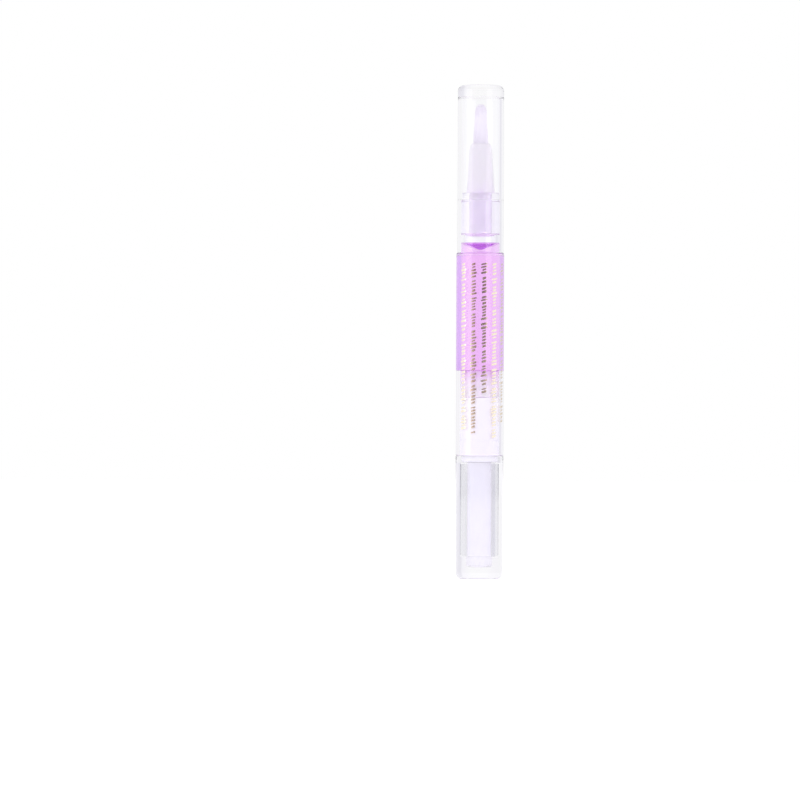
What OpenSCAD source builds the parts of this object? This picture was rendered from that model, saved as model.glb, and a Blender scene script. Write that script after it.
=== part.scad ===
// Clear twist-up cuticle oil pen, standing on its knob.
// The Z axis is the pen's own axis. The origin is the middle of the knob's flat end.
// Turning the knob turns a keyed lead screw in a fixed nut. The screw lifts the
// piston, which pushes the oil through the neck into the brush. A ratchet lets the
// knob turn one way only.

/* [Knob] */
// Height of the knob that is turned
knob_h = 30.9; // [27:0.1:36]
// How much narrower the knob is above its foot than at the barrel
knob_taper = 0.2; // [0:0.05:0.6]
// Radius of the knob's rounded foot
knob_round_r = 1.5; // [0.6:0.1:2.4]
// Thickness of the knob's clear floor
knob_floor = 3; // [1.5:0.1:4]
// Depth of the socket that grips the drive sleeve
socket_depth = 2.65; // [1.5:0.05:4]
// Depth of the recess that turns on the bush
recess_depth = 1.7; // [1:0.1:3]

/* [Barrel] */
// Height of the barrel between the knob and the cap
barrel_h = 50.8; // [48:0.2:54]
// Outer diameter of the barrel and the knob
barrel_d = 12; // [11.9:0.1:13]
// Wall of the barrel round the oil
barrel_wall = 1; // [0.8:0.05:1.05]
// Height of the spigot that the cap slides over
spigot_h = 13.1; // [11:0.1:16]
// Outer diameter of the spigot
spigot_d = 9.7; // [9.4:0.05:9.9]
// Wall of the spigot round the neck plug
spigot_wall = 0.85; // [0.6:0.05:1.2]
// Thickness of the barrel's shoulder under the cap
shoulder_t = 1; // [0.6:0.1:2]

/* [Neck and brush] */
// How deep the neck plug reaches into the spigot
plug_depth = 8.3; // [6:0.1:9.5]
// Height of the neck plug's flange
flange_h = 2; // [0.8:0.1:2.6]
// Diameter of the neck plug's flange
flange_d = 9.4; // [8.4:0.05:9.45]
// Diameter of the brush holder's stem in the plug
stem_d = 3.7; // [3:0.1:4.4]
// Height of the brush holder above the plug
ferrule_h = 12.5; // [10:0.1:16]
// Wall of the brush holder at its base
ferrule_base_wall = 1.15; // [0.7:0.05:1.3]
// Wall of the brush holder where its rounded end starts
ferrule_shoulder_wall = 1; // [0.6:0.05:1.2]
// Height of the brush holder's rounded end
ferrule_round_h = 3.4; // [1.5:0.1:5]
// Wall of the brush holder at its mouth
ferrule_mouth_wall = 0.45; // [0.3:0.05:0.8]
// Thickness of the brush holder's floor under the bristles
ferrule_floor = 1.4; // [0.8:0.1:2.5]
// How far the bristles stand out of the brush holder
brush_reach = 9.8; // [6:0.1:13]
// Diameter of the bristle bundle at its root
bundle_root_d = 4.6; // [4.2:0.05:4.7]
// Diameter of the bristle bundle at the height of its tip
bundle_tip_d = 2.6; // [2.3:0.05:2.8]
// How much sooner the outermost bristles end
tip_drop = 2.4; // [1:0.1:5]
// Number of bristles
bristles = 380; // [300:10:400]
// Outer diameter of the feed tube
tube_d = 1.5; // [1.2:0.05:1.8]
// Bore of the feed tube
tube_bore_d = 0.9; // [0.5:0.05:1]

/* [Cap] */
// Wall of the cap where it grips the spigot
cap_wall = 0.85; // [0.6:0.05:1]
// How much narrower the cap's bore is above the spigot, in the radius
cap_step = 0.15; // [0.1:0.01:0.15]
// Thickness of the cap's closed end
cap_top_t = 2.9; // [1.6:0.1:4]
// Radius of the cap's rounded end
cap_round_r = 1.5; // [0.6:0.1:2.4]
// Free height between the bristle tips and the cap
brush_gap = 1.9; // [1:0.1:5]

/* [Screw drive] */
// Lead of the screw, its travel in one turn
screw_lead = 2; // [1.6:0.1:2.4]
// Diameter over the thread's crests
screw_d = 4.2; // [4:0.05:4.4]
// Diameter at the thread's roots, also the width over the two flats
screw_core_d = 3.3; // [3:0.05:3.5]
// Height of the bush that the drive sleeve turns in
bush_h = 3.8; // [3:0.1:5]
// Height of the ratchet ring
ratchet_h = 3.5; // [3:0.1:4.5]
// Number of ratchet teeth
ratchet_teeth = 12; // [8:2:18]
// Depth of the ratchet teeth
tooth_depth = 0.42; // [0.3:0.01:0.45]
// Height of the guide nut
nut_h = 7.2; // [6:0.1:9]
// Wall of the drive sleeve
sleeve_wall = 0.6; // [0.5:0.05:0.65]

/* [Piston and oil] */
// Height of the piston
piston_h = 6.6; // [6:0.1:8]
// Depth of the cup in the piston's face
cup_depth = 2.2; // [1:0.1:2.4]
// Free height between the oil and the neck plug
air_gap = 2.6; // [1:0.1:4]

/* [Hidden] */
$fn = 72;

// Gaps between pieces, in the radius or the height
joint_gap = 0.1;      // under the barrel's end and under the cap's rim
push_gap = 0.02;      // between pieces that are pushed into each other
turn_gap = 0.05;      // between pieces that turn or slide in each other
cap_gap = 0.1;        // between the spigot and the cap
thread_gap = 0.2;     // between the screw's thread and the nut's
screw_room = 0.25;    // between the screw and the drive sleeve
sleeve_gap = 0.2;     // between the drive sleeve and the knob's bore
piston_gap = 0.04;    // between the piston's lips and the barrel
end_gap = 0.3;        // between parts that must not rub end to end
overrun = 1;          // how far a cut runs past the face that it opens

// Small forms
edge = 0.3;           // chamfer on rims and ends
arc_steps = 8;        // straight pieces in a quarter round
snap_h = 0.7;         // height of the snap bead and of its groove
snap_rise = 0.15;     // how far the snap bead stands out
snap_lift = 0.65;     // where the groove starts above the barrel's end
grip_h = 0.8;         // height of the bead that grips the cap
grip_rise = 0.05;     // how far that bead stands out

// Heights along the pen, from the knob's foot upwards
socket_z = knob_floor + socket_depth;
barrel_z = knob_h + joint_gap;
ratchet_z = barrel_z + bush_h;
nut_z = ratchet_z + ratchet_h;
nut_top = nut_z + nut_h;
piston_z = nut_top + end_gap;
lip_z = piston_z + piston_h;
cup_z = lip_z - cup_depth;
shoulder_z = barrel_z + barrel_h;
roof_z = shoulder_z - shoulder_t;
spigot_top = shoulder_z + spigot_h;
plug_z = spigot_top - plug_depth;
oil_top = plug_z - air_gap;
flange_top = spigot_top + flange_h;
root_z = flange_top + ferrule_floor;
mouth_z = flange_top + ferrule_h;
tip_z = mouth_z + brush_reach;
cap_z = shoulder_z + joint_gap;
cap_roof = tip_z + brush_gap;
cap_top = cap_roof + cap_top_t;

// Barrel, and the radius of the pieces that are pushed into it
barrel_r = barrel_d / 2;
bore_r = barrel_r - barrel_wall;
insert_r = bore_r - push_gap;
spigot_r = spigot_d / 2;
spigot_bore_r = spigot_r - spigot_wall;

// Lead screw
screw_r = screw_d / 2;
core_r = screw_core_d / 2;
sleeve_floor = 0.8;
screw_z = socket_z + sleeve_floor + end_gap;
thread_top = piston_z - end_gap;
rings_per_turn = 6;
thread_sides = 12;

// Drive sleeve: a long tube with a keyed head above the bush
sleeve_bore_r = screw_r + screw_room;
sleeve_r = sleeve_bore_r + sleeve_wall;
sleeve_tail_step = 0.15;
sleeve_tail_r = sleeve_bore_r - sleeve_tail_step;
collar_z = ratchet_z + joint_gap;
collar_h = 0.6;
collar_rise = 0.35;
collar_r = sleeve_r + collar_rise;
hex_r = sleeve_r;
head_top = nut_z - end_gap;
key_h = 4.2;
key_z = head_top - key_h;

// Bush, and the tail on it that the knob turns on
bush_bore_r = sleeve_r + turn_gap;
bush_tail_step = 0.4;
bush_tail_r = bore_r - bush_tail_step;
bush_tail_z = barrel_z - recess_depth + joint_gap;

// Ratchet ring and the sprung pawls inside it
ratchet_wall = 0.55;
tooth_root_r = insert_r - ratchet_wall;
tooth_tip_r = tooth_root_r - tooth_depth;
pawl_tip_r = tooth_tip_r - turn_gap;
pawl_arms = 3;
pawl_sweep = 84;      // degrees
pawl_t = 0.3;

// Piston: two thin lips, a waist between them and a cup in its face
lip_r = bore_r - piston_gap;
lip_h = 1.6;
lip_reach = 0.2;
lip_t = 0.35;
waist_r = lip_r - lip_reach;
cup_mouth_r = lip_r - lip_t;
cup_floor_share = 0.6;
piston_floor = 1;

// Snap head of the screw and its socket in the piston
neck_r = core_r - edge;
head_rise = 0.4;
head_r = neck_r + head_rise;
entry_h = 1.2;
cavity_z = piston_z + entry_h;
cavity_top = cup_z - piston_floor;

// Bristles
slice_h = 1;
strand_root_r = 0.07;
strand_tip_r = 0.03;
strand_sides = 3;
golden_angle = 180 * (3 - sqrt(5));

// Full turns of the knob that empty the pen: the piston has to stay under the
// barrel's roof, and the screw has to stay in its key
key_hold = 2;
feed_turns = floor(min(roof_z - lip_z, head_top - key_hold - screw_z) / screw_lead);
echo(str("Turns of the knob from full to empty: ", feed_turns));

// Looks
clear_plastic = [0.93, 0.93, 0.98, 0.3];
clear_cap = [0.95, 0.95, 0.98, 0.3];
frosted_plastic = [0.92, 0.9, 0.97, 0.7];
white_plastic = [0.95, 0.94, 0.98];
bristle_white = [0.95, 0.93, 0.98];
pink_oil = [0.96, 0.73, 0.98, 0.75];

// Points of an arc about [x, z], from one angle to another
function arc(x, z, r, from, to) =
    [for (i = [0:arc_steps])
        let (a = from + (to - from) * i / arc_steps)
        [x + r * cos(a), z + r * sin(a)]];

// Solid of revolution from points [radius, height]
module turned(points) {
    rotate_extrude() polygon(points);
}

// Main tube: oil chamber below, thinner spigot for the cap above
module barrel() {
    groove_z = barrel_z + snap_lift;
    groove_r = bore_r + snap_rise + turn_gap;
    grip_z = shoulder_z + spigot_h / 2;
    color(clear_plastic) turned([
        [bore_r + edge, barrel_z],
        [barrel_r - edge, barrel_z],
        [barrel_r, barrel_z + edge],
        [barrel_r, shoulder_z - edge],
        [barrel_r - edge, shoulder_z],
        [spigot_r, shoulder_z],
        [spigot_r, grip_z - grip_h / 2],
        [spigot_r + grip_rise, grip_z],
        [spigot_r, grip_z + grip_h / 2],
        [spigot_r, spigot_top - edge],
        [spigot_r - edge, spigot_top],
        [spigot_bore_r, spigot_top],
        [spigot_bore_r, roof_z],
        [bore_r, roof_z],
        [bore_r, groove_z + snap_h],
        [groove_r, groove_z + snap_h / 2],
        [bore_r, groove_z],
        [bore_r, barrel_z + edge]
    ]);
}

// Stopper in the spigot, with a flange that the brush holder stands on
module neck_plug() {
    plug_r = spigot_bore_r - push_gap;
    flange_r = flange_d / 2;
    hole_r = stem_d / 2 + push_gap;
    color(clear_plastic) turned([
        [hole_r, plug_z],
        [plug_r - edge, plug_z],
        [plug_r, plug_z + edge],
        [plug_r, spigot_top],
        [flange_r, spigot_top],
        [flange_r, flange_top - edge],
        [flange_r - edge, flange_top],
        [hole_r, flange_top]
    ]);
}

// Tapered brush holder with a rounded end, on a stem that runs down through the plug
module ferrule() {
    stem_z = plug_z + edge;
    tube_hole_r = tube_d / 2 + push_gap;
    root_r = bundle_r(root_z) + turn_gap;
    mouth_r = bundle_r(mouth_z) + turn_gap;
    rim_r = mouth_r + ferrule_mouth_wall;
    round_z = mouth_z - ferrule_round_h;
    round_r = bundle_r(round_z) + turn_gap + ferrule_shoulder_wall;
    color(frosted_plastic) turned(concat(
        [[tube_hole_r, stem_z],
         [stem_d / 2, stem_z],
         [stem_d / 2, flange_top],
         [root_r + ferrule_base_wall, flange_top],
         [root_r + ferrule_base_wall, flange_top + edge]],
        [for (i = [0:arc_steps])
            let (a = 90 * i / arc_steps)
            [rim_r + (round_r - rim_r) * cos(a), round_z + ferrule_round_h * sin(a)]],
        [[mouth_r, mouth_z],
         [root_r, root_z],
         [tube_hole_r, root_z]]
    ));
}

// Fine tube that carries the oil to the roots of the bristles
module feed_tube() {
    tube_z = plug_z + edge;
    length = root_z - push_gap - tube_z;
    color(white_plastic) translate([0, 0, tube_z]) difference() {
        cylinder(h = length, d = tube_d);
        translate([0, 0, -overrun]) cylinder(h = length + 2 * overrun, d = tube_bore_d);
    }
}

// Radius of the bristle bundle at a height
function bundle_r(z) =
    (bundle_root_d + (bundle_tip_d - bundle_root_d) * (z - root_z) / (tip_z - root_z)) / 2;

// How far out a bristle stands, as a share of the bundle's radius
function out_share(i) =
    sqrt((i + 0.5) / bristles) * (1 - strand_root_r / bundle_r(root_z));

// Height at which a bristle ends: the outer ones end sooner
function end_z(i) = tip_z - tip_drop * pow(out_share(i), 4);

// The corners of one end of a bristle
function strand_ring(i, z, r) =
    let (turn = i * golden_angle, out = out_share(i) * bundle_r(z))
    [for (k = [0:strand_sides - 1])
        let (a = turn + 360 * k / strand_sides)
        [out * cos(turn) + r * cos(a), out * sin(turn) + r * sin(a), z]];

// Faces of a tube of rings, one above the other, from the point at first
function tube_faces(first, sides, rings) = concat(
    [[for (k = [0:sides - 1]) first + k]],
    [[for (k = [sides - 1:-1:0]) first + rings * sides + k]],
    [for (j = [0:rings - 1], k = [0:sides - 1])
        let (a = first + j * sides + k, b = first + j * sides + (k + 1) % sides)
        each [[a, a + sides, b + sides], [a, b + sides, b]]]);

// Straight bristles that draw together towards the tip, so that none cross
module bristle_tuft() {
    foot_z = root_z + slice_h / 2;
    points = [for (i = [0:bristles - 1]) each concat(
        strand_ring(i, foot_z, strand_root_r), strand_ring(i, end_z(i), strand_tip_r))];
    faces = [for (i = [0:bristles - 1])
        each tube_faces(2 * strand_sides * i, strand_sides, 1)];
    color(bristle_white) {
        polyhedron(points, faces);
        translate([0, 0, root_z]) cylinder(h = slice_h, r = bundle_r(root_z));
    }
}

// Bush in the barrel's lower end. Its tail is the pivot that the knob turns on
module bearing_bush() {
    snap_z = barrel_z + snap_lift;
    color(white_plastic) turned([
        [bush_bore_r, bush_tail_z],
        [bush_tail_r - edge, bush_tail_z],
        [bush_tail_r, bush_tail_z + edge],
        [bush_tail_r, barrel_z],
        [insert_r, barrel_z + edge],
        [insert_r, snap_z],
        [insert_r + snap_rise, snap_z + snap_h / 2],
        [insert_r, snap_z + snap_h],
        [insert_r, ratchet_z],
        [bush_bore_r, ratchet_z]
    ]);
}

// Ring with saw teeth inside, pressed into the barrel
module ratchet_ring() {
    step = 360 / ratchet_teeth;
    saw = [for (i = [0:ratchet_teeth - 1], r = [tooth_root_r, tooth_tip_r])
        r * [cos(i * step), sin(i * step)]];
    color(white_plastic) translate([0, 0, ratchet_z]) difference() {
        cylinder(h = ratchet_h, r = insert_r);
        translate([0, 0, -overrun]) linear_extrude(ratchet_h + 2 * overrun) polygon(saw);
    }
}

// How far the thread rises at an angle and a height: root, flank, crest, flank
function rise_share(angle, z) =
    let (turns = z / screw_lead - angle / 360, phase = 4 * (turns - floor(turns)))
    min(max(phase - 1, 0), 1) - max(phase - 3, 0);

// Radius of the right-hand thread
function thread_r(angle, z) = core_r + (screw_r - core_r) * rise_share(angle, z);

// Radius of the thread where its two flats cut it
function keyed_r(angle, z) =
    min(thread_r(angle, z), core_r / max(abs(sin(angle)), core_r / screw_r));

// Threaded solid between two heights, grown by a gap
module threaded(low, high, gap, keyed) {
    rings = ceil((high - low) / screw_lead * rings_per_turn);
    points = [for (j = [0:rings], k = [0:thread_sides - 1])
        let (z = low + (high - low) * j / rings,
             a = 360 * k / thread_sides,
             r = gap + (keyed ? keyed_r(a, z) : thread_r(a, z)))
        [r * cos(a), r * sin(a), z]];
    polyhedron(points, tube_faces(0, thread_sides, rings));
}

// Fixed nut in the barrel that the lead screw climbs through
module guide_nut() {
    relief_h = nut_h / 6;
    relief_r = screw_r + 2 * thread_gap;
    color(white_plastic) difference() {
        translate([0, 0, nut_z]) cylinder(h = nut_h, r = insert_r);
        threaded(nut_z - overrun, nut_top + overrun, thread_gap, false);
        translate([0, 0, nut_z - overrun]) cylinder(h = relief_h + overrun, r = relief_r);
        translate([0, 0, nut_top - relief_h]) cylinder(h = relief_h + overrun, r = relief_r);
    }
}

// Oil between the piston's cup and the air under the neck plug
module oil() {
    neck_r = spigot_bore_r - push_gap;
    cup_r = cup_mouth_r - turn_gap;
    color(pink_oil) turned([
        [0, cup_z + turn_gap],
        [cup_r * cup_floor_share, cup_z + turn_gap],
        [cup_r, lip_z + turn_gap],
        [insert_r, lip_z + turn_gap],
        [insert_r, roof_z - push_gap],
        [neck_r, roof_z - push_gap],
        [neck_r, oil_top],
        [0, oil_top]
    ]);
}

// Closed clear cap over the brush, wider inside where it grips the spigot
module cap() {
    grip_r = spigot_r + cap_gap;
    outer_r = grip_r + cap_wall;
    inner_r = grip_r - cap_step;
    step_z = spigot_top + end_gap;
    round_in = cap_round_r / 2;
    color(clear_cap) turned(concat(
        [[grip_r + edge, cap_z], [outer_r - edge, cap_z], [outer_r, cap_z + edge]],
        arc(outer_r - cap_round_r, cap_top - cap_round_r, cap_round_r, 0, 90),
        [[0, cap_top], [0, cap_roof]],
        arc(inner_r - round_in, cap_roof - round_in, round_in, 90, 0),
        [[inner_r, step_z + edge], [grip_r, step_z], [grip_r, cap_z + edge]]
    ));
}

// Clear cup that the fingers turn
module knob() {
    foot_r = barrel_r - knob_taper / 2;
    recess_r = bush_tail_r + turn_gap;
    hollow_r = sleeve_r + sleeve_gap;
    socket_r = sleeve_tail_r + push_gap;
    color(clear_plastic) turned(concat(
        [[0, 0]],
        arc(foot_r - knob_round_r, knob_round_r, knob_round_r, -90, 0),
        [[barrel_r, knob_h - edge],
         [barrel_r - edge, knob_h],
         [recess_r, knob_h],
         [recess_r, knob_h - recess_depth],
         [hollow_r, knob_h - recess_depth],
         [hollow_r, socket_z],
         [socket_r, socket_z],
         [socket_r, knob_floor],
         [0, knob_floor]]
    ));
}

// White tube in the knob. Its slotted head turns the screw by the screw's two flats
module drive_sleeve() {
    key_r = screw_r + turn_gap;
    key_half = core_r + turn_gap;
    bore_z = socket_z + sleeve_floor;
    color(white_plastic) difference() {
        union() {
            turned([
                [0, knob_floor],
                [sleeve_tail_r - edge, knob_floor],
                [sleeve_tail_r, knob_floor + edge],
                [sleeve_tail_r, socket_z],
                [sleeve_r, socket_z],
                [sleeve_r, collar_z],
                [collar_r, collar_z],
                [collar_r, collar_z + collar_h],
                [0, collar_z + collar_h]
            ]);
            translate([0, 0, collar_z]) cylinder(h = head_top - collar_z, r = hex_r, $fn = 6);
        }
        translate([0, 0, bore_z]) cylinder(h = key_z - bore_z, r = sleeve_bore_r);
        intersection() {
            translate([0, 0, bore_z]) cylinder(h = head_top + overrun - bore_z, r = key_r);
            translate([-key_r, -key_half, bore_z])
                cube([2 * key_r, 2 * key_half, head_top + overrun - bore_z]);
        }
    }
}

// Sprung ring on the sleeve's head. Its arms trail round and click past the teeth
module pawl_ring() {
    low = collar_z + collar_h;
    ring_r = hex_r + pawl_t;
    root_r = ring_r - pawl_t / 3;
    color(white_plastic) translate([0, 0, low]) linear_extrude(head_top - low) difference() {
        union() {
            circle(r = ring_r);
            for (i = [0:pawl_arms - 1]) rotate(i * 360 / pawl_arms) polygon([
                for (side = [0, 1], j = [0:arc_steps])
                    let (share = (side == 0 ? j : arc_steps - j) / arc_steps,
                         r = root_r + (pawl_tip_r - root_r) * share - side * pawl_t)
                    r * [cos(pawl_sweep * share), sin(pawl_sweep * share)]]);
        }
        circle(r = hex_r + push_gap, $fn = 6);
    }
}

// Threaded rod with two flats and a snap head that turns in the piston
module lead_screw() {
    head_z = cavity_z + turn_gap;
    tip = cavity_top - turn_gap;
    color(white_plastic) {
        threaded(screw_z, thread_top, 0, true);
        turned([
            [0, thread_top - edge],
            [neck_r, thread_top - edge],
            [neck_r, head_z],
            [head_r, head_z],
            [neck_r, tip],
            [0, tip]
        ]);
    }
}

// Soft piston with a lip at each end, pushed onto the screw's head
module piston() {
    entry_r = neck_r + turn_gap;
    cavity_r = head_r + turn_gap;
    color(frosted_plastic) turned([
        [entry_r, piston_z],
        [lip_r - edge, piston_z],
        [lip_r, piston_z + edge],
        [waist_r, piston_z + lip_h],
        [waist_r, lip_z - lip_h],
        [lip_r, lip_z - edge],
        [lip_r, lip_z],
        [cup_mouth_r, lip_z],
        [cup_mouth_r * cup_floor_share, cup_z],
        [0, cup_z],
        [0, cavity_top],
        [cavity_r, cavity_top],
        [cavity_r, cavity_z],
        [entry_r, cavity_z]
    ]);
}

barrel();
neck_plug();
ferrule();
feed_tube();
bristle_tuft();
bearing_bush();
ratchet_ring();
guide_nut();
oil();
cap();
knob();
drive_sleeve();
pawl_ring();
lead_screw();
piston();
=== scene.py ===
# %% [markdown]
# # A clear twist-up oil pen
# The pen is a clear plastic tube of pink oil with a brush under a clear cap. Turning
# the clear knob at its foot lifts a piston. This lesson dresses the CAD model of the
# pen: it keeps every place and size and adds what the eye needs, which is clear
# plastic that bends light, oil that tints it, milky plastic, nylon and foil.

# %% Load the CAD model
import math
import bpy
import numpy as np
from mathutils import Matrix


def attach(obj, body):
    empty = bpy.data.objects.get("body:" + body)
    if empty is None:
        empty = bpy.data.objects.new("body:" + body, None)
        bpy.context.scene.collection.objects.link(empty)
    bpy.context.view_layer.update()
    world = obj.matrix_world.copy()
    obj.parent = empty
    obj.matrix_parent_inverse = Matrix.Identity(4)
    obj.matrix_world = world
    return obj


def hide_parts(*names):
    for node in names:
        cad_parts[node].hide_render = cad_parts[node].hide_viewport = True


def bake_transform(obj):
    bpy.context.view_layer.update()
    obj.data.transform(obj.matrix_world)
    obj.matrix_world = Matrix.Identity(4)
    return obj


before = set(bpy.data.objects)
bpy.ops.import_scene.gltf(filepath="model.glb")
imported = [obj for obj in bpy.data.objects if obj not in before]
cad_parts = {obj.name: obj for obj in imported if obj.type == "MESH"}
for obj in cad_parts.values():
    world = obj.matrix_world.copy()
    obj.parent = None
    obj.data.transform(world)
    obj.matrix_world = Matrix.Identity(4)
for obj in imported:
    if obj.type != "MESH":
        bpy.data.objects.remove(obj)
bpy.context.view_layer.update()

# %% [markdown]
# ## Turned shapes
# The pieces of a pen are nearly all turned shapes, so one helper does what a person
# would do by hand: it places a vertex, extrudes it along the outline of the wall, and
# spins the outline round the pen's axis. Sizes are written in millimetres, as on a
# drawing, and become metres as they are used. The small rounding of each edge would
# tilt the shading of the long wall beside it, and clear plastic shows that as a dark
# line, so weighted normals keep each wall's shading true to its large faces.

# %% Millimetres and arcs
MM = 0.001
ARC_PIECES = 10


def arc(x, z, reach, start, end, rise=None):
    """Points of an arc about (x, z), in degrees. With a rise of its own it is an oval's."""
    angles = [math.radians(start + (end - start) * i / ARC_PIECES) for i in range(ARC_PIECES + 1)]
    return [(x + reach * math.cos(a), z + (rise or reach) * math.sin(a)) for a in angles]


# %% Turn an outline round the axis
FACES_ROUND = 128                    # so many that the edge of a clear wall looks round
EDGE_ROUNDING = 0.05                 # mm, about what a polished mould leaves
SHARP_OVER, SMOOTH_UNDER = 24, 40    # degrees between faces, for rounding and for shading
SAME_POINT = 0.000001                # metres
LARGE_FACES_LEAD = 100               # weight of the large faces in the shading


def turned(name, outline, rounding=EDGE_ROUNDING):
    """Extrudes a vertex along an outline of (radius, height) in mm, spins it and rounds it."""
    bpy.ops.object.select_all(action="DESELECT")
    bpy.ops.mesh.primitive_plane_add(size=MM)
    piece = bpy.context.object
    piece.name = piece.data.name = name
    # an outline that ends on the axis is closed by the spin, any other by its first point
    closed = outline + outline[:1] if outline[0][0] or outline[-1][0] else outline
    # one vertex, pulled from point to point
    bpy.ops.object.mode_set(mode="EDIT")
    bpy.ops.mesh.select_mode(type="VERT")
    bpy.ops.mesh.select_all(action="SELECT")
    bpy.ops.mesh.merge(type="CENTER")
    bpy.ops.transform.translate(value=(closed[0][0] * MM, 0, closed[0][1] * MM))
    for (r, z), (next_r, next_z) in zip(closed, closed[1:]):
        move = ((next_r - r) * MM, 0, (next_z - z) * MM)
        bpy.ops.mesh.extrude_region_move(TRANSFORM_OT_translate={"value": move})
    # once round the axis, where the two ends and the points on the axis become one
    bpy.ops.mesh.select_all(action="SELECT")
    bpy.ops.mesh.spin(steps=FACES_ROUND, angle=math.tau, center=(0, 0, 0), axis=(0, 0, 1))
    bpy.ops.mesh.select_all(action="SELECT")
    bpy.ops.mesh.remove_doubles(threshold=SAME_POINT)
    bpy.ops.mesh.normals_make_consistent(inside=False)
    if rounding:
        bpy.ops.mesh.select_all(action="DESELECT")
        bpy.ops.mesh.select_mode(type="EDGE")
        bpy.ops.mesh.edges_select_sharp(sharpness=math.radians(SHARP_OVER))
        bpy.ops.mesh.bevel(offset=rounding * MM, segments=3, affect="EDGES", clamp_overlap=True)
    # shading that follows the large faces
    bpy.ops.object.mode_set(mode="OBJECT")
    bpy.ops.object.shade_smooth_by_angle(angle=math.radians(SMOOTH_UNDER))
    bpy.ops.object.modifier_add(type="WEIGHTED_NORMAL")
    shading = piece.modifiers[0]
    shading.mode, shading.weight, shading.keep_sharp = "FACE_AREA", LARGE_FACES_LEAD, True
    bpy.ops.object.modifier_apply(modifier=shading.name)
    print(f"{name}: {len(piece.data.polygons)} faces")
    return piece


# %% [markdown]
# ## Colours and nodes
# Colours are written as sRGB hex values, as in any paint program, but nodes count in
# linear light. One function turns one into the other, and one function adds a node
# with its settings, its links and, for a colour ramp, its stops.

# %% Linear colours
def linear(code):
    """A linear RGBA colour from an sRGB hex value such as F4EEFA."""
    shares = [int(code[i:i + 2], 16) / 255 for i in (0, 2, 4)]
    return [s / 12.92 if s <= 0.04045 else ((s + 0.055) / 1.055) ** 2.4 for s in shares] + [1]


# %% Add a node
def add(tree, kind, settings=None, links=None, stops=()):
    """A new node. Settings are sockets or properties, links are outputs of other nodes."""
    made = tree.nodes.new(kind)
    for key, value in (settings or {}).items():
        if isinstance(key, int) or key in made.inputs:
            made.inputs[key].default_value = value
        else:
            setattr(made, key, value)
    for key, output in (links or {}).items():
        tree.links.new(output, made.inputs[key])
    marks = made.color_ramp.elements if stops else []
    while len(marks) < len(stops):
        marks.new(0.5)
    for mark, (position, code) in zip(marks, stops):
        mark.position, mark.color = position, linear(code)
    return made


# %% Start a material
def new_material(name):
    """An empty material, its node tree and the piece's own coordinates."""
    material = bpy.data.materials.new(name)
    material.use_nodes = True
    tree = material.node_tree
    tree.nodes.clear()
    print("material:", name)
    return material, tree, add(tree, "ShaderNodeTexCoord").outputs["Object"]


# %% [markdown]
# No real surface has one flat colour. Each material here starts from soft clouds of a
# size in millimetres, its grain, ripple or flow, and its colour drifts with them.

# %% Clouds and the colour that drifts with them
def drift(tree, place, size_mm, detail, tint, shade):
    """Soft clouds of a size in mm, and a colour that goes with them from tint to shade."""
    clouds = add(tree, "ShaderNodeTexNoise", {"Scale": 1 / (size_mm * MM), "Detail": detail},
                 {"Vector": place}).outputs[0]
    tone = add(tree, "ShaderNodeMix", {"data_type": "RGBA", 6: linear(tint), 7: linear(shade)},
               {0: clouds}).outputs[2]
    return clouds, tone


# %% [markdown]
# ## Camera
# The photograph looks straight at the standing pen from far away, so a long lens
# stands level with the middle of the frame. The pen stands a little right of the
# middle and leans by a quarter of a degree, which the camera's roll gives.

# %% Place the camera
PIXELS_PER_MM = 3.98
LENS, SENSOR, FRAME_PX = 300, 36, 800    # mm, mm and pixels
MIDDLE_X, MIDDLE_Z = -20.03, 44.85    # mm, where the middle of the frame meets the pen's plane
LEAN = -0.24                          # degrees
NEAR, FAR = 0.1, 20                   # metres
distance = LENS / SENSOR * FRAME_PX / PIXELS_PER_MM * MM
camera = bpy.data.objects.new("camera", bpy.data.cameras.new("camera"))
bpy.context.scene.collection.objects.link(camera)
camera.data.lens, camera.data.sensor_width = LENS, SENSOR
camera.data.clip_start, camera.data.clip_end = NEAR, FAR
camera.location = (MIDDLE_X * MM, -distance, MIDDLE_Z * MM)
camera.rotation_euler = (math.radians(90), math.radians(LEAN), 0)
bpy.context.scene.camera = camera
print("camera distance in m:", round(distance, 3))

# %% [markdown]
# ## Studio
# Clear plastic shows only what it bends and mirrors, so the room matters as much as
# the pen. The room is white ahead and behind and a pale cool grey to the sides, a
# little deeper on the right. A round clear wall bends the eye's line to the side near
# its edges, so the two sides draw the quiet outlines of the pen. The room is a world
# shader, so that it costs no noise.

# %% The room from side to side
ALL_WAYS = {1: -1.0, 2: 1.0}    # a direction's share along an axis, from one way to the other


def room_tone(tree, direction):
    """The room's colour in a direction: white in the middle, pale grey at the sides."""
    across = add(tree, "ShaderNodeMapRange", ALL_WAYS,
                 {0: add(tree, "ShaderNodeSeparateXYZ", links={0: direction}).outputs["X"]})
    return add(tree, "ShaderNodeValToRGB", links={0: across.outputs[0]}, stops=[
        (0.00, "F1F0F3"), (0.12, "F8F8F9"), (0.30, "FCFBFD"), (0.40, "FFFFFF"),
        (0.60, "FFFFFF"), (0.77, "F9F8FC"), (0.82, "E8E7EE"), (1.00, "EAE8EF")]).outputs[0]


# %% The white room
scene = bpy.context.scene
scene.view_settings.view_transform = "Standard"
world = bpy.data.worlds.new("white_room")
scene.world = world
world.use_nodes = True
room = world.node_tree
room.nodes.clear()
way = add(room, "ShaderNodeTexCoord").outputs["Generated"]
ahead = add(room, "ShaderNodeSeparateXYZ", links={0: way}).outputs["Y"]
print("world:", world.name)

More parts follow.
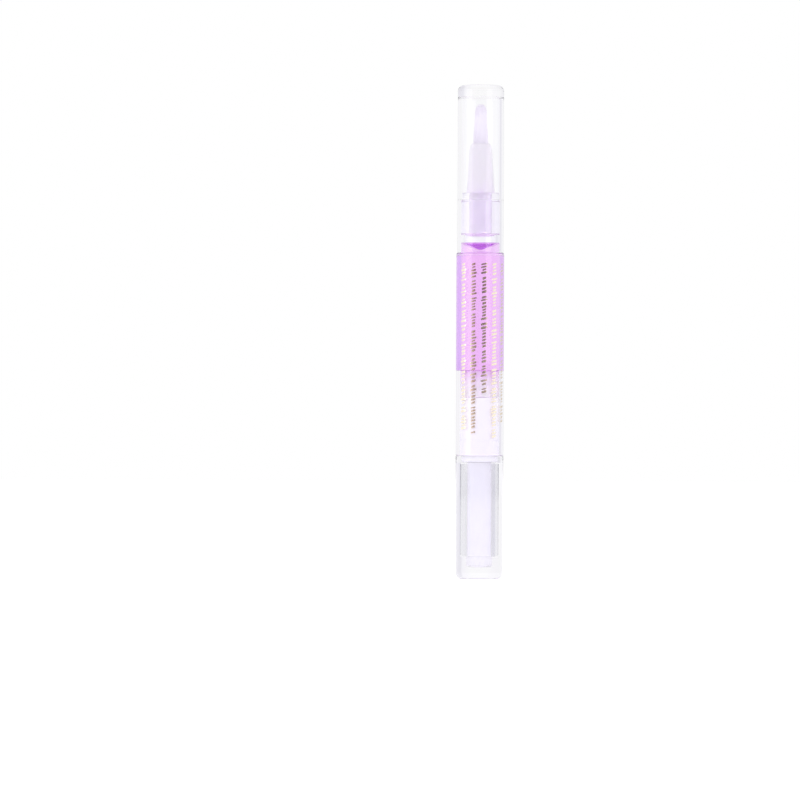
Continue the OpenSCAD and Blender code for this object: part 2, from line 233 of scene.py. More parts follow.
# %% [markdown]
# Mirrored light is another matter. The side of the room behind the camera is dark and
# plum, as in a studio with its curtains drawn, and gives the foil its brown look where
# it faces the camera. Straight ahead, where only the edges mirror, the room is a little
# dimmer too. Light that lands on white plastic has none of the room's tones. It is
# stronger from the camera's side and makes up for what the clear walls take of it, so
# a colour there renders about as it is written.

# %% What each ray sees
FRONT_LEVEL, BACK_LEVEL = 1.36, 0.76    # landing light from the camera's side and from behind
ONE_OR_MORE = 0.5                       # a count over this is at least one

depth = add(room, "ShaderNodeMapRange", ALL_WAYS, {0: ahead})
mirrored = add(room, "ShaderNodeValToRGB", links={0: depth.outputs[0]}, stops=[
    (0.00, "502730"), (0.04, "593038"), (0.09, "A2767C"), (0.20, "E7DDE2"), (0.34, "FFFFFF"),
    (0.66, "FFFFFF"), (0.82, "CBC4CE"), (0.93, "E1E1E5"), (1.00, "E1E1E5")])
rays = add(room, "ShaderNodeLightPath")
through = add(room, "ShaderNodeMix", {"data_type": "RGBA"},
              {0: rays.outputs["Is Transmission Ray"], 6: mirrored.outputs[0],
               7: room_tone(room, way)})
landed = add(room, "ShaderNodeMath", {"operation": "GREATER_THAN", 1: ONE_OR_MORE},
             {0: rays.outputs["Diffuse Depth"]})
level = add(room, "ShaderNodeMapRange", {**ALL_WAYS, 3: FRONT_LEVEL, 4: BACK_LEVEL}, {0: ahead})
even = add(room, "ShaderNodeMix", {"data_type": "RGBA"},
           {0: landed.outputs[0], 6: through.outputs[2], 7: level.outputs[0]})
shown = add(room, "ShaderNodeMix", {"data_type": "RGBA", 7: linear("FFFFFF")},
            {0: rays.outputs["Is Camera Ray"], 6: even.outputs[2]})
sky = add(room, "ShaderNodeBackground", {"Strength": 1.0}, {"Color": shown.outputs[2]})
add(room, "ShaderNodeOutputWorld", links={"Surface": sky.outputs[0]})
print("nodes in the room:", len(room.nodes))

# %% [markdown]
# Light that enters a clear wall can run round in it for a long time. The render gives
# up after twelve turns and leaves black there, so it is allowed more of them.

# %% Longer light paths
TURNS_IN_PLASTIC, LANDINGS = 128, 12
scene.cycles.max_bounces = TURNS_IN_PLASTIC
scene.cycles.transmission_bounces = TURNS_IN_PLASTIC
scene.cycles.glossy_bounces = TURNS_IN_PLASTIC
scene.cycles.diffuse_bounces = LANDINGS
scene.cycles.blur_glossy = 0.0    # mirrored light stays sharp
print("turns of light allowed:", TURNS_IN_PLASTIC)

# %% [markdown]
# The floor is a pale card. What the camera sees of it is lifted to the white of the
# room by a little light of its own, and the rest of its white comes from the lamps, so
# the pen's shadow still shows. Seen through the pen it carries the room's tones on.

# %% The floor
FLOOR_SIZE, FLOOR_DROP = 4, 0.02    # metres across, and mm below the pen's foot
bpy.ops.object.select_all(action="DESELECT")
bpy.ops.mesh.primitive_plane_add(size=FLOOR_SIZE, location=(0, 0, -FLOOR_DROP * MM))
floor = bpy.context.object
floor.name = "floor"
print("floor in m:", FLOOR_SIZE)

# %% The floor's white card
OWN_LIGHT, CARRIED_LIGHT = 0.2, 0.96
card, tree, place = new_material("white_card")
_, tone = drift(tree, place, size_mm=11.1, detail=3.0, tint="F4F4F6", shade="F8F8FA")
paper = add(tree, "ShaderNodeBsdfDiffuse", links={"Color": tone})
lift = add(tree, "ShaderNodeEmission", {"Color": linear("FFFFFF"), "Strength": OWN_LIGHT})
bright = add(tree, "ShaderNodeAddShader", links={0: paper.outputs[0], 1: lift.outputs[0]})
rays = add(tree, "ShaderNodeLightPath")
direct = add(tree, "ShaderNodeMath", {"operation": "MAXIMUM"},
             {0: rays.outputs["Is Camera Ray"], 1: rays.outputs["Is Glossy Ray"]})
seen = add(tree, "ShaderNodeMixShader",
           links={0: direct.outputs[0], 1: paper.outputs[0], 2: bright.outputs[0]})
outward = add(tree, "ShaderNodeVectorMath", {"operation": "NORMALIZE"}, {0: place})
landed = add(tree, "ShaderNodeMath", {"operation": "GREATER_THAN", 1: ONE_OR_MORE},
             {0: rays.outputs["Diffuse Depth"]})
even = add(tree, "ShaderNodeMix", {"data_type": "RGBA", 7: linear("FFFFFF")},
           {0: landed.outputs[0], 6: room_tone(tree, outward.outputs[0])})
carried = add(tree, "ShaderNodeEmission", {"Strength": CARRIED_LIGHT}, {"Color": even.outputs[2]})
whole = add(tree, "ShaderNodeMixShader", links={0: rays.outputs["Is Transmission Ray"],
                                                1: seen.outputs[0], 2: carried.outputs[0]})
add(tree, "ShaderNodeOutputMaterial", links={"Surface": whole.outputs[0]})
floor.data.materials.append(card)

# %% [markdown]
# Two lavender cards stand out of the frame beside the oil, the deeper one on the right.
# They are there for one thing: a tube full of oil bends the eye's line to them at its
# edges, and shows them as its two clean violet bands. Light crosses six surfaces on its
# way through wall, oil and wall, and four on its way through an empty clear cap, so the
# cards show only to light that has crossed five or more. A little of that also comes
# through the thick neck. They throw no shade and no colour on the pen.

# %% Side cards
CARD_HIGH, CARD_DEEP = 35, 185                # mm, as high as the oil and long from front to back
CARD_OUT, CARD_BACK, CARD_UP = 130, 71, 68    # mm, where the middle of a card stands
FIVE_OR_MORE = 4.5                            # a count over this is at least five
for name, side, hue in (("left_card", -1, "E7E7F7"), ("right_card", 1, "DAD7F7")):
    bpy.ops.object.select_all(action="DESELECT")
    bpy.ops.mesh.primitive_plane_add(size=1)
    side_card = bpy.context.object
    side_card.name = name
    bpy.ops.transform.resize(value=(CARD_HIGH * MM, CARD_DEEP * MM, 1))
    bpy.ops.transform.rotate(value=math.radians(90), orient_axis="Y", center_override=(0, 0, 0))
    bpy.ops.transform.translate(value=(side * CARD_OUT * MM, CARD_BACK * MM, CARD_UP * MM))
    dyed, tree, _ = new_material(name + "_lavender")
    shade = add(tree, "ShaderNodeEmission", {"Color": linear(hue), "Strength": 1.0})
    crossed = add(tree, "ShaderNodeMath", {"operation": "GREATER_THAN", 1: FIVE_OR_MORE},
                  {0: add(tree, "ShaderNodeLightPath").outputs["Transmission Depth"]})
    clear = add(tree, "ShaderNodeBsdfTransparent")
    gated = add(tree, "ShaderNodeMixShader",
                links={0: crossed.outputs[0], 1: clear.outputs[0], 2: shade.outputs[0]})
    add(tree, "ShaderNodeOutputMaterial", links={"Surface": gated.outputs[0]})
    side_card.data.materials.append(dyed)
    side_card.visible_camera = side_card.visible_diffuse = side_card.visible_glossy = False
    side_card.visible_shadow = False

# %% [markdown]
# Two soft lamps, one to each side of the pen, give the round walls their long soft
# glints and the foil at the sides its pale shine. They stay weak, because white plastic
# clips easily.

# %% Two soft lamps
# name, place in metres, turn in degrees, size in metres, power in watts
for name, spot, turn, size, watts in (
        ("left_lamp", (-0.85, -0.45, 0.3), (75, 0, -62), 0.6, 0.8),
        ("right_lamp", (0.62, -0.66, 0.3), (74, 0, 43), 0.5, 0.55)):
    lamp = bpy.data.objects.new(name, bpy.data.lights.new(name, "AREA"))
    scene.collection.objects.link(lamp)
    lamp.data.size, lamp.data.energy = size, watts
    lamp.location = spot
    lamp.rotation_euler = [math.radians(a) for a in turn]
    print(f"{name}: {watts} W")

# %% [markdown]
# ## Clear plastics
# The barrel, the knob and the cap are polished clear styrene. The neck plug is clear
# polythene, which is softer and has a finer and deeper ripple. Moulded plastic is never
# quite flat: it ripples from the way it cooled. The ripple is a bump a few micrometres
# high over some millimetres, and the haze comes and goes with it. The index of
# refraction draws the walls. It starts from styrene's 1.59 and is matched down to 1.5.

# %% Moulded clear plastic
UM = 0.001 * MM
CLEAR_IOR, MOST_HAZE = 1.5, 0.03


def clear_plastic(name, tint, shade, ripple_mm, ripple_um):
    """Polished clear plastic with a faint ripple of a given width and height."""
    material, tree, place = new_material(name)
    wave, tone = drift(tree, place, ripple_mm, detail=2.0, tint=tint, shade=shade)
    bump = add(tree, "ShaderNodeBump", {"Strength": 1.0, "Distance": ripple_um * UM},
               {"Height": wave})
    haze = add(tree, "ShaderNodeMapRange", {3: 0.0, 4: MOST_HAZE}, {0: wave})
    plastic = add(tree, "ShaderNodeBsdfPrincipled",
                  {"IOR": CLEAR_IOR, "Transmission Weight": 1.0},
                  {"Base Color": tone, "Roughness": haze.outputs[0], "Normal": bump.outputs[0]})
    add(tree, "ShaderNodeOutputMaterial", links={"Surface": plastic.outputs[0]})
    return material


# the polish leaves the walls as clear as glass, and the ripple lets their glints waver
barrel_styrene = clear_plastic(
    "clear_styrene_barrel_polished", "FFFEFF", "FCFBFF", ripple_mm=6, ripple_um=3)
cap_styrene = clear_plastic(
    "clear_styrene_cap_polished", "FFFFFF", "FDFDFF", ripple_mm=7, ripple_um=3)
knob_styrene = clear_plastic(
    "clear_styrene_knob_polished", "FFFFFF", "FCFBFF", ripple_mm=5, ripple_um=3)
# as moulded: a finer and deeper ripple, so it looks a little softer than the walls
plug_polythene = clear_plastic(
    "clear_polythene_plug_moulded", "FEFDFF", "FCFAFF", ripple_mm=3, ripple_um=4)

# %% [markdown]
# ## Milky plastics
# The brush holder and the piston are natural polythene, which is milky and soft. Light
# goes in, scatters and comes out again, so they are part transmission with a rough
# surface and part plain plastic, and a little sheen gives the glow at their edges. The
# top of the piston is painted pink, fading downwards: a painted glow of the oil's light.
# The inner parts of the drive are white acetal, a satin plastic with a faint flow
# pattern. The roughness moves with the flow by 0.03 either way and no more, because a
# wider range drew tiny dark rings in the plastics that let light through.

# %% Milky and white plastic
SATIN_RANGE = 0.03
FLOW_RELIEF = 0.01    # mm


def milky_plastic(name, tint, shade, flow_mm, rough, clear=0.0, glow=0.0, painted_oil_glow=None):
    """Milky plastic: a share lets light through, blurred. The painted oil glow is two heights
    in mm and the colours of painted pink light that climb from one to the other."""
    material, tree, place = new_material(name)
    flow, shown = drift(tree, place, flow_mm, detail=3.0, tint=tint, shade=shade)
    # painted light: the oil's pink glow painted into the colour, fading downwards
    if painted_oil_glow:
        low, high, *colours = painted_oil_glow
        height = add(tree, "ShaderNodeSeparateXYZ", links={0: place}).outputs["Z"]
        climb = add(tree, "ShaderNodeMapRange", {1: low * MM, 2: high * MM}, {0: height})
        painted_glow_ramp = add(tree, "ShaderNodeValToRGB", links={0: climb.outputs[0]}, stops=[
            (i / (len(colours) - 1), code) for i, code in enumerate(colours)])
        shown = add(tree, "ShaderNodeMix", {"data_type": "RGBA", "blend_type": "MULTIPLY", 0: 1.0},
                    {6: shown, 7: painted_glow_ramp.outputs[0]}).outputs[2]
    satin = add(tree, "ShaderNodeMapRange", {3: rough - SATIN_RANGE, 4: rough + SATIN_RANGE},
                {0: flow})
    bump = add(tree, "ShaderNodeBump", {"Strength": 0.6, "Distance": FLOW_RELIEF * MM},
               {"Height": flow})
    plastic = add(tree, "ShaderNodeBsdfPrincipled",
                  {"IOR": 1.5, "Transmission Weight": clear, "Sheen Weight": glow,
                   "Sheen Roughness": 0.5},
                  {"Base Color": shown, "Roughness": satin.outputs[0], "Normal": bump.outputs[0]})
    add(tree, "ShaderNodeOutputMaterial", links={"Surface": plastic.outputs[0]})
    return material


# %% Polythene and acetal
# natural polythene glows softly, like thin milk
holder_polythene = milky_plastic(
    "natural_polythene_holder_satin", "FEFBFF", "FAF7FE", flow_mm=1.5, rough=0.3,
    clear=0.4, glow=0.4)
# the piston's is soft and lets less through, and its top is painted pink for the oil's light
piston_polythene = milky_plastic(
    "natural_polythene_piston_soft", "FFFEFF", "FDFBFF", flow_mm=2, rough=0.3,
    clear=0.35, glow=0.3, painted_oil_glow=(46.5, 52.4, "FFFFFF", "FEFAFF", "FCEEFF", "F8DAFB"))
# moulded acetal is a plain cool white with a satin shine
white_acetal = milky_plastic(
    "white_acetal_drive_moulded", "F5F2FA", "F0EDF7", flow_mm=2.5, rough=0.38)
# drawn tube is the same white, duller and with a finer pattern
white_polythene = milky_plastic(
    "white_polythene_tube_drawn", "F6F3FD", "F0ECFA", flow_mm=0.8, rough=0.45)

# %% [markdown]
# ## Pink oil
# The oil is a clear liquid that takes out green light as it goes through, so it is
# pale pink where it is thin and deeper where it is thick. Its surface is plain glass
# with the oil's index, and an absorbing volume inside gives the colour. In ten
# millimetres it lets through 93 percent of red, 56 of green and 98 of blue.

# %% Oil and its dye
DYE, DYE_DENSITY = "F69EFD", 88.0
pink_oil, tree, place = new_material("pink_oil_tinted")
_, tone = drift(tree, place, size_mm=9, detail=1.0, tint="FFFDFF", shade="FFF8FF")
liquid = add(tree, "ShaderNodeBsdfPrincipled",
             {"IOR": 1.47, "Transmission Weight": 1.0, "Roughness": 0.0}, {"Base Color": tone})
dye = add(tree, "ShaderNodeVolumeAbsorption", {"Color": linear(DYE), "Density": DYE_DENSITY})
add(tree, "ShaderNodeOutputMaterial",
    links={"Surface": liquid.outputs[0], "Volume": dye.outputs[0]})
left = [math.exp(-DYE_DENSITY * (1 - share) * 10 * MM) for share in linear(DYE)[:3]]
print("light left after 10 mm of oil:", [round(share, 2) for share in left])

# %% [markdown]
# ## Nylon and foil
# A bristle is a drawn nylon thread: white, with a soft gloss along it and a pale sheen
# where it turns away. The rows on the barrel are gold foil that was pressed on hot, so
# it is metal with a fine grain, paler and a little duller in spots.

# %% Nylon thread
nylon, tree, place = new_material("nylon_thread_drawn")
_, tone = drift(tree, place, size_mm=0.25, detail=2.0, tint="FAF7FD", shade="F5F1FA")
thread = add(tree, "ShaderNodeBsdfPrincipled",
             {"Roughness": 0.4, "IOR": 1.53, "Sheen Weight": 0.3}, {"Base Color": tone})
add(tree, "ShaderNodeOutputMaterial", links={"Surface": thread.outputs[0]})

# %% Hot-pressed gold foil
gold_foil, tree, place = new_material("gold_foil_hot_pressed")
grain, tone = drift(tree, place, size_mm=0.35, detail=4.0, tint="F1E3C4", shade="FFF9EA")
worn = add(tree, "ShaderNodeMapRange", {3: 0.1, 4: 0.22}, {0: grain})
press = add(tree, "ShaderNodeBump", {"Strength": 0.5, "Distance": 0.01 * MM}, {"Height": grain})
foil = add(tree, "ShaderNodeBsdfPrincipled", {"Metallic": 1.0},
           {"Base Color": tone, "Roughness": worn.outputs[0], "Normal": press.outputs[0]})
add(tree, "ShaderNodeOutputMaterial", links={"Surface": foil.outputs[0]})

# %% [markdown]
# ## Pieces
# Each dressed piece gets its material, and most move with one of the pen's bodies.
# Where it stands for a CAD node, that node is hidden. One helper says all of this for
# a piece.

# %% Put a piece in its place
def place_piece(piece, material, body, slot, *nodes):
    """Gives a piece its material and its moving body, and hides the node it stands for. The slot
    is not used.
    """
    piece.data.materials.clear()
    piece.data.materials.append(material)
    if nodes:
        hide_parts(*nodes)
    if body:
        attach(piece, body)


# %% [markdown]
# ## Barrel
# The barrel is one moulded tube: a 12 mm chamber with a 1 mm wall, and above it a
# thinner spigot that the cap slides over. It is turned from its wall's outline, with
# the bead that grips the cap. The snap groove at its foot is filled by the bush's bead,
# and the two are left out as one, so that the wall stays clear there. The roof over
# the oil is drawn 0.6 mm thick in place of 1 mm, because a thicker one shows as a pale
# band at the shoulder.

# %% Barrel
BARREL_R, BORE_R, SPIGOT_R, NECK_R = 6.0, 5.0, 4.85, 4.0
FOOT_Z, ROOF_Z, SHOULDER_Z, SPIGOT_TOP = 31.0, 81.2, 81.8, 94.9
barrel = turned("barrel_tube", [
    (5.1, FOOT_Z), (5.88, FOOT_Z), (BARREL_R, 31.12),                # foot
    (BARREL_R, 81.68), (5.88, SHOULDER_Z), (SPIGOT_R, SHOULDER_Z),   # wall and shoulder
    (SPIGOT_R, 87.95), (4.9, 88.35), (SPIGOT_R, 88.75),              # bead for the cap
    (SPIGOT_R, 94.86), (4.81, SPIGOT_TOP), (NECK_R, SPIGOT_TOP),     # rim of the spigot
    (NECK_R, ROOF_Z), (BORE_R, ROOF_Z), (BORE_R, 31.1)])             # neck, roof and bore
place_piece(barrel, barrel_styrene, "pen", "clear_shell", "barrel")

# %% [markdown]
# ## Knob
# The knob is a thick clear cup. Its foot is well rounded, and its bore is a narrow
# hollow round the drive sleeve, with a snug socket at the bottom.

# %% Knob
KNOB_TOP, HOLLOW_R, SOCKET_R = 30.9, 3.15, 2.19
knob = turned("knob_cup", [(0, 0)] + arc(4.4, 1.5, 1.5, -90, 0) + [  # rounded foot
    (BARREL_R, 30.78), (5.88, KNOB_TOP), (4.65, KNOB_TOP),           # drafted wall and rim
    (4.65, 29.2), (HOLLOW_R, 29.2),                                  # recess for the bush's tail
    (HOLLOW_R, 5.65), (SOCKET_R, 5.65),                              # hollow round the sleeve
    (SOCKET_R, 3.02), (0, 3.02)])                                    # socket for its foot
place_piece(knob, knob_styrene, "knob", "clear_shell", "knob")

# %% [markdown]
# A thin grey tube stands inside the wall round the bore and paints shade. Seen from the
# front it can't be noticed, but at the two sides the eye looks along it, and it shows as
# a pair of quiet grey lines of painted shade, stronger in the upper quarter, where the
# tube is thicker. It is a thin tube inside the wall. Its surface bends nothing, and its
# volume takes out a little light on the way.

# %% Painted shade in the bore
bore_shade_sheet, tree, place = new_material("styrene_sheet_painted_shade")
_, tone = drift(tree, place, size_mm=4, detail=1.0, tint="FFFFFF", shade="FCFCFE")
sheet_surface = add(tree, "ShaderNodeBsdfPrincipled",
           {"IOR": 1.0, "Transmission Weight": 1.0, "Roughness": 0.0}, {"Base Color": tone})
# a grey absorbing volume that paints the shade of the two grey lines at the bore's sides
painted_shade_volume = add(tree, "ShaderNodeVolumeAbsorption", {"Color": linear("CBCBD0"), "Density": 1350.0})
add(tree, "ShaderNodeOutputMaterial",
    links={"Surface": sheet_surface.outputs[0], "Volume": painted_shade_volume.outputs[0]})
# 0.03 mm thick at the foot and 0.09 mm at the top, so the painted shade is darker above
painted_shade_tube = turned("knob_bore_painted_shade", [
    (3.17, 5.9), (3.2, 5.9), (3.21, 19.0), (3.25, 21.5), (3.26, 28.9), (3.17, 28.9)], rounding=0)
place_piece(painted_shade_tube, bore_shade_sheet, "knob", "clear_shell")

# %% [markdown]
# ## Cap
# The cap is a long clear thimble with a thick end. Its bore widens where it grips the
# spigot, which shows as a small step in the wall.

# %% Cap
CAP_FOOT, PEN_TOP = 81.9, 124.0
cap = turned("cap_thimble", [(5.07, CAP_FOOT), (5.68, CAP_FOOT), (5.8, 82.02)]  # mouth
             + arc(4.3, 122.5, 1.5, 0, 90) + [(0, PEN_TOP), (0, 121.1)]         # thick round end
             + arc(4.05, 120.35, 0.75, 90, 0)                                   # top of the bore
             + [(4.8, 95.2), (4.95, 95.2), (4.95, 82.02)])                      # bore and step
place_piece(cap, cap_styrene, "cap", "clear_cap", "cap")

# %% [markdown]
# ## Neck plug
# The plug seals the spigot and holds the brush. It was pressed in, so it touches the
# wall all round. Touching faces are drawn a hair's breadth into each other, because a
# gap of air, however thin, would mirror like silver.

# %% Neck plug
PRESSED = 0.03    # mm, how far a pressed face is drawn into its neighbour
STEM_R, PLUG_FOOT, FLANGE_TOP = 1.9, 86.6, 96.9
plug = turned("neck_stopper", [
    (STEM_R - PRESSED, PLUG_FOOT), (3.9, PLUG_FOOT),            # foot, round the brush's stem
    (NECK_R + PRESSED, 86.73), (NECK_R + PRESSED, SPIGOT_TOP - PRESSED),    # side
    (4.7, SPIGOT_TOP - PRESSED), (4.7, 96.78), (4.58, FLANGE_TOP),          # flange
    (STEM_R - PRESSED, FLANGE_TOP)])
place_piece(plug, plug_polythene, "pen", "clear_plug", "neck_plug")

# %% [markdown]
# ## Brush holder
# The holder is a tapered milky cone with a rounded end, on a stem. The stem goes down
# through the plug, and the cone's thin mouth lets the bristles out.

# %% Brush holder
FEED_R, SEAT_Z, MOUTH_Z = 0.77, 98.3, 109.4
holder = turned("brush_holder", [
    (FEED_R, 86.62), (STEM_R, 86.62), (STEM_R, FLANGE_TOP),     # stem round the feed tube
    (3.5, 96.93), (3.5, 97.2)]                                  # shoulder on the flange
    + arc(2.12, 106.0, 0.82, 0, 90, rise=3.4)                   # rounded end of the cone
    + [(1.82, MOUTH_Z), (2.35, SEAT_Z), (FEED_R, SEAT_Z)])      # mouth and the bristles' seat
place_piece(holder, holder_polythene, "pen", "frosted_holder", "ferrule")

# %% [markdown]
# ## Oil filling
# The oil fills the bore from the piston's bowl to the spigot, so its outline follows
# the walls, drawn a little into them as where any liquid wets its glass. The air under
# the plug sits in a small dish in its surface, and the dish mirrors the deep colour of
# the oil below it.

# %% Oil filling
WETTED = 0.05    # mm, how far the oil is drawn into what it wets
BOWL = [(0, 50.2), (1.0, 50.22), (2.0, 50.45), (3.0, 51.0), (3.9, 51.7), (4.62, 52.4)]
DISH = [(4.05, 84.4), (3.9, 84.28), (3.7, 84.2), (3.4, 84.16), (3.2, 84.1), (2.85, 83.85),
        (2.3, 83.5), (1.7, 83.17), (1.1, 82.87), (0.6, 82.64), (0.3, 82.54), (0, 82.5)]
oil = turned("oil_fill", [(r, z - WETTED) for r, z in BOWL] + [
    (BORE_R + WETTED, 52.3), (BORE_R + WETTED, ROOF_Z + WETTED),
    (NECK_R + WETTED, ROOF_Z + WETTED)] + DISH, rounding=0)
place_piece(oil, pink_oil, None, "pink_oil", "oil")
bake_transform(oil)

# %% [markdown]
# A film of oil hangs under the plug and bellies out into a flat drop. Seen from the
# side it is the thin lilac line above the air.

# %% Drop under the plug
drop = turned("oil_drop", [
    (0, 85.9), (1.2, 85.92), (2.2, 85.98), (3.0, 86.08), (3.6, 86.23), (3.9, 86.38),
    (NECK_R + WETTED, 86.55), (NECK_R + WETTED, PLUG_FOOT + WETTED), (0, PLUG_FOOT + WETTED)],
    rounding=0)
place_piece(drop, pink_oil, "pen", "pink_oil")

# %% [markdown]
# ## Piston
# The piston is a soft milky plug that wipes the bore. The bowl in its face holds the
# last of the oil, and its socket grips the screw's head, so the two are drawn touching.
# Its foot is drawn 0.25 mm low, because the gap under it would show as a dark line.

# %% Piston
WIPER_R, PISTON_FOOT = 4.9, 45.55
piston = turned("piston_seal", [
    (1.4, PISTON_FOOT), (4.7, PISTON_FOOT), (WIPER_R, 45.75),         # foot
    (WIPER_R, 52.1), (4.8, 52.36)] + BOWL[::-1] + [                   # side, lip and face
    (0, 49.12), (1.73, 49.12), (1.73, 47.02), (1.4, 47.0)])           # socket of the screw's head
place_piece(piston, piston_polythene, "piston", "soft_piston", "piston")

# %% [markdown]
# ## Bristles
# A brush of this kind holds some hundreds of bristles. One is modelled from a narrow
# cone with a few rings. It is then copied along a spiral of seeds, as in a sunflower,
# which packs a round bundle evenly, and each copy leans and curves in to the tip. Only
# the outer ones start at the root: the inner ones can't be seen there, so a plain heart
# fills the bundle and they start near its end.

# %% One bristle
RINGS, SIDES, TAPER = 8, 5, 0.45
bpy.ops.object.select_all(action="DESELECT")
bpy.ops.mesh.primitive_cone_add(vertices=SIDES, radius1=1, radius2=TAPER, depth=1,
                                location=(0, 0, 0.5))
strand = bpy.context.object
bpy.ops.object.mode_set(mode="EDIT")
for i in range(1, RINGS):
    bpy.ops.mesh.select_all(action="SELECT")
    bpy.ops.mesh.bisect(plane_co=(0, 0, i / RINGS), plane_no=(0, 0, 1))
bpy.ops.object.mode_set(mode="OBJECT")
bpy.ops.object.transform_apply(location=True, rotation=True, scale=True)
print("one bristle:", len(strand.data.polygons), "faces")


# %% Copy a shape many times into one mesh
def copied(name, pattern, moves):
    """One mesh of many copies of a pattern, each moved by a function of its points."""
    points = np.array([v.co for v in pattern.data.vertices])
    faces = [tuple(p.vertices) for p in pattern.data.polygons]
    verts, polys = [], []
    for move in moves:
        first = len(verts)
        verts.extend(move(points).tolist())
        polys.extend([tuple(first + i for i in face) for face in faces])
    mesh = bpy.data.meshes.new(name)
    mesh.from_pydata(verts, [], polys)
    mesh.validate()
    piece = bpy.data.objects.new(name, mesh)
    bpy.context.scene.collection.objects.link(piece)
    bpy.data.objects.remove(pattern)
    print(f"{name}: {len(polys)} faces")
    return piece


# %% The bundle's outline
BUNDLE = [(98.3, 2.28), (109.4, 1.78), (110.3, 1.93), (111.8, 1.76),    # height and radius in mm
          (115.2, 1.56), (117.4, 1.5), (118.5, 1.36), (119.2, 1.16)]


def bundle_radius(z):
    """Radius of the bundle in mm: full in the holder, drawn in to a blunt point."""
    return np.interp(z, *zip(*BUNDLE))


print("bundle radius at the mouth in mm:", bundle_radius(MOUTH_Z))

# %% The bundle
BRISTLES, ROOT_Z, INNER_Z, TIP_Z = 1200, 98.8, 113.0, 119.2
GOLDEN_TURN = 137.508        # degrees from one seed to the next
FILLED, OUTER = 0.985, 0.8   # shares of the bundle's radius: the last seed, the first full bristle
DOME, LOOSE_TOP = 1.7, 0.1   # mm, how much lower the outer tips end, and how far tips scatter
DOME_EDGE = 5                # a high power, so that only the outermost tips end lower
THREAD_R, STRAY = 0.05, 0.015         # mm, a thread's radius and how far a tip strays
THREAD_SPREAD = (0.85, 1.1)           # the thinnest and the thickest against that radius
WOBBLE = 0.02                         # radians, how far a seed is off the spiral
rng = np.random.default_rng(7)


def bristle(i):
    """Moves the model bristle to its seed on the spiral."""
    share = math.sqrt((i + 0.5) / BRISTLES) * FILLED
    turn = i * math.radians(GOLDEN_TURN) + rng.normal(0, WOBBLE)
    top = TIP_Z - DOME * share ** DOME_EDGE - abs(rng.normal(0, LOOSE_TOP))
    foot = ROOT_Z if share > OUTER else INNER_Z
    stray = rng.normal(0, STRAY, 2)
    thick = THREAD_R * rng.uniform(*THREAD_SPREAD)

    def move(points):
        z = foot + (top - foot) * points[:, 2]
        out = share * bundle_radius(z)
        x = out * math.cos(turn) + stray[0] * points[:, 2] ** 2 + thick * points[:, 0]
        y = out * math.sin(turn) + stray[1] * points[:, 2] ** 2 + thick * points[:, 1]
        return np.column_stack([x, y, z]) * MM
    return move


tuft = copied("brush_bristles", strand, [bristle(i) for i in range(BRISTLES)])
heart = turned("bristle_heart", [
    (0, 98.32), (2.28, 98.32), (2.2, 99.3), (1.95, 99.4), (1.66, 109.4),    # in the holder
    (1.66, 111.2), (1.47, 115.2), (1.36, 117.2), (0.95, 118.5), (0, 118.8)])    # above its mouth
place_piece(tuft, nylon, "pen", "nylon_bristle", "bristle_tuft")
place_piece(heart, nylon, "pen", "nylon_bristle", "bristle_tuft")

# %% [markdown]
# ## Foil rows
# Rows of small foil blocks run along the barrel, in groups of unequal length. One
# block is modelled as a thin plate with rounded corners. Each copy is slanted a little
# and bent to the barrel's curve.

# %% One foil block
CORNER = 0.16    # share of the block's width
bpy.ops.object.select_all(action="DESELECT")
bpy.ops.mesh.primitive_plane_add(size=1)
block = bpy.context.object
bpy.ops.object.mode_set(mode="EDIT")
bpy.ops.mesh.select_all(action="SELECT")
bpy.ops.mesh.bevel(offset=CORNER, segments=2, affect="VERTICES")
bpy.ops.mesh.select_all(action="SELECT")
bpy.ops.mesh.extrude_region_move(TRANSFORM_OT_translate={"value": (0, 0, 1)})
for quarter in (-0.25, 0, 0.25):
    bpy.ops.mesh.select_all(action="SELECT")
    bpy.ops.mesh.bisect(plane_co=(0, quarter, 0), plane_no=(0, 1, 0))
bpy.ops.mesh.select_all(action="SELECT")
bpy.ops.mesh.normals_make_consistent(inside=False)
bpy.ops.object.mode_set(mode="OBJECT")
print("one foil block:", len(block.data.polygons), "faces")

# %% Bend a block to the barrel
FOIL, PROUD, SLANT = 0.012, 0.003, 0.3    # mm: thickness, film of glue below it, lean of a block


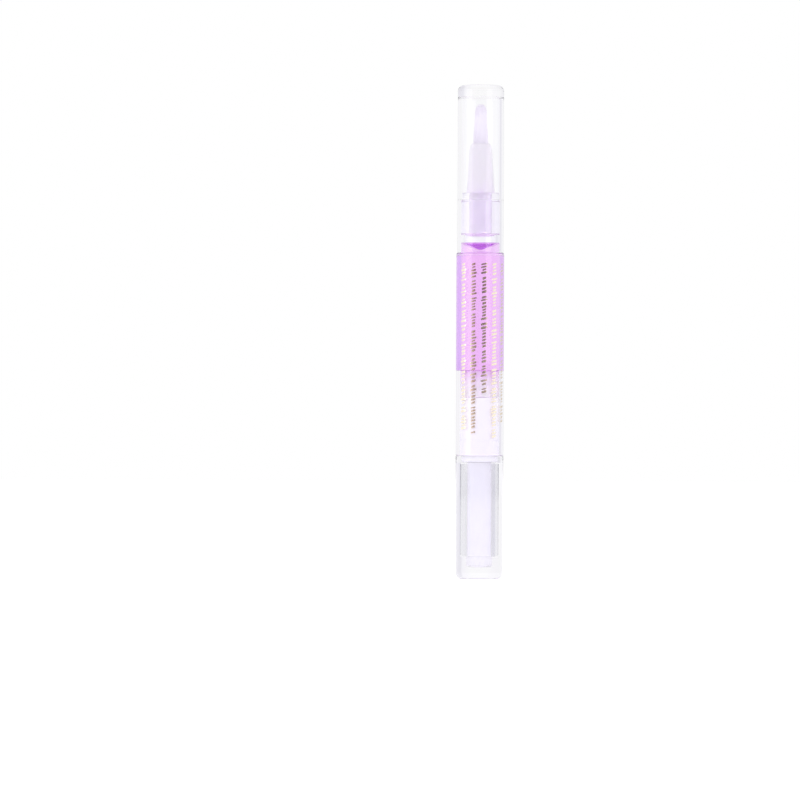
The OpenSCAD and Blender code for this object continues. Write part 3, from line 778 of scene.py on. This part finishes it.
def foil_block(turn, low, length, height):
    """Moves the model block to an angle and a height on the barrel."""
    def move(points):
        angle = math.radians(turn) + points[:, 1] * height / BARREL_R
        r = BARREL_R + PROUD + FOIL * points[:, 2]
        z = low + (points[:, 0] + 0.5) * length + points[:, 1] * SLANT
        return np.column_stack([r * np.sin(angle), -r * np.cos(angle), z]) * MM
    return move


# %% The rows
# one pair per row: its angle on the barrel in degrees, and the height in mm where it ends
ROWS = ((-44.4, 37.2), (-16.8, 36.6), (9.3, 46.4), (35.9, 35.2), (64.5, 38.2))
ROW_TOP, GROUP_GAP = 79.2, 0.5                    # mm
FEWEST, MOST = 2, 8                               # blocks in a group
LENGTHS, GAPS = (0.32, 0.62), (0.22, 0.38)        # mm, least and most along the pen
HEIGHTS = [0.95, 1.2, 1.6]                        # mm round the barrel
blocks = []
for turn, foot in ROWS:
    z = ROW_TOP
    while z > foot:
        for _ in range(int(rng.integers(FEWEST, MOST + 1))):
            length = rng.uniform(*LENGTHS)
            z -= length
            if z > foot:
                tall = rng.choice(HEIGHTS)
                blocks.append(foil_block(turn, z, length, tall))
            z -= rng.uniform(*GAPS)
        z -= GROUP_GAP
foil_rows = copied("foil_rows", block, blocks)
place_piece(foil_rows, gold_foil, "pen", "clear_shell")

# %% [markdown]
# ## Bearing bush
# The bush closes the barrel's foot and carries the knob's sleeve. Its narrower tail
# stands in the knob's recess.

# %% Bearing bush
SLEEVE_R, TAIL_R, BUSH_R = 3.0, 4.6, 4.98
bush = turned("bush_body", [
    (SLEEVE_R, 29.4), (4.5, 29.4), (TAIL_R, 29.5), (TAIL_R, FOOT_Z),    # tail
    (BUSH_R, 31.1), (BUSH_R, 34.8), (SLEEVE_R, 34.8)])                  # body in the barrel
place_piece(bush, white_acetal, "pen", "white_insert", "bearing_bush")

# %% [markdown]
# ## The drive
# The ratchet, nut, sleeve, pawls and screw keep their CAD shapes, because these are
# already exact, and get white acetal. The feed tube is drawn white polythene.

# %% Dress the drive
for name in ("ratchet_ring", "guide_nut", "drive_sleeve", "pawl_ring", "lead_screw", "feed_tube"):
    finish = white_polythene if name == "feed_tube" else white_acetal
    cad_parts[name].material_slots[0].material = finish
    print(f"{name}: {finish.name}")
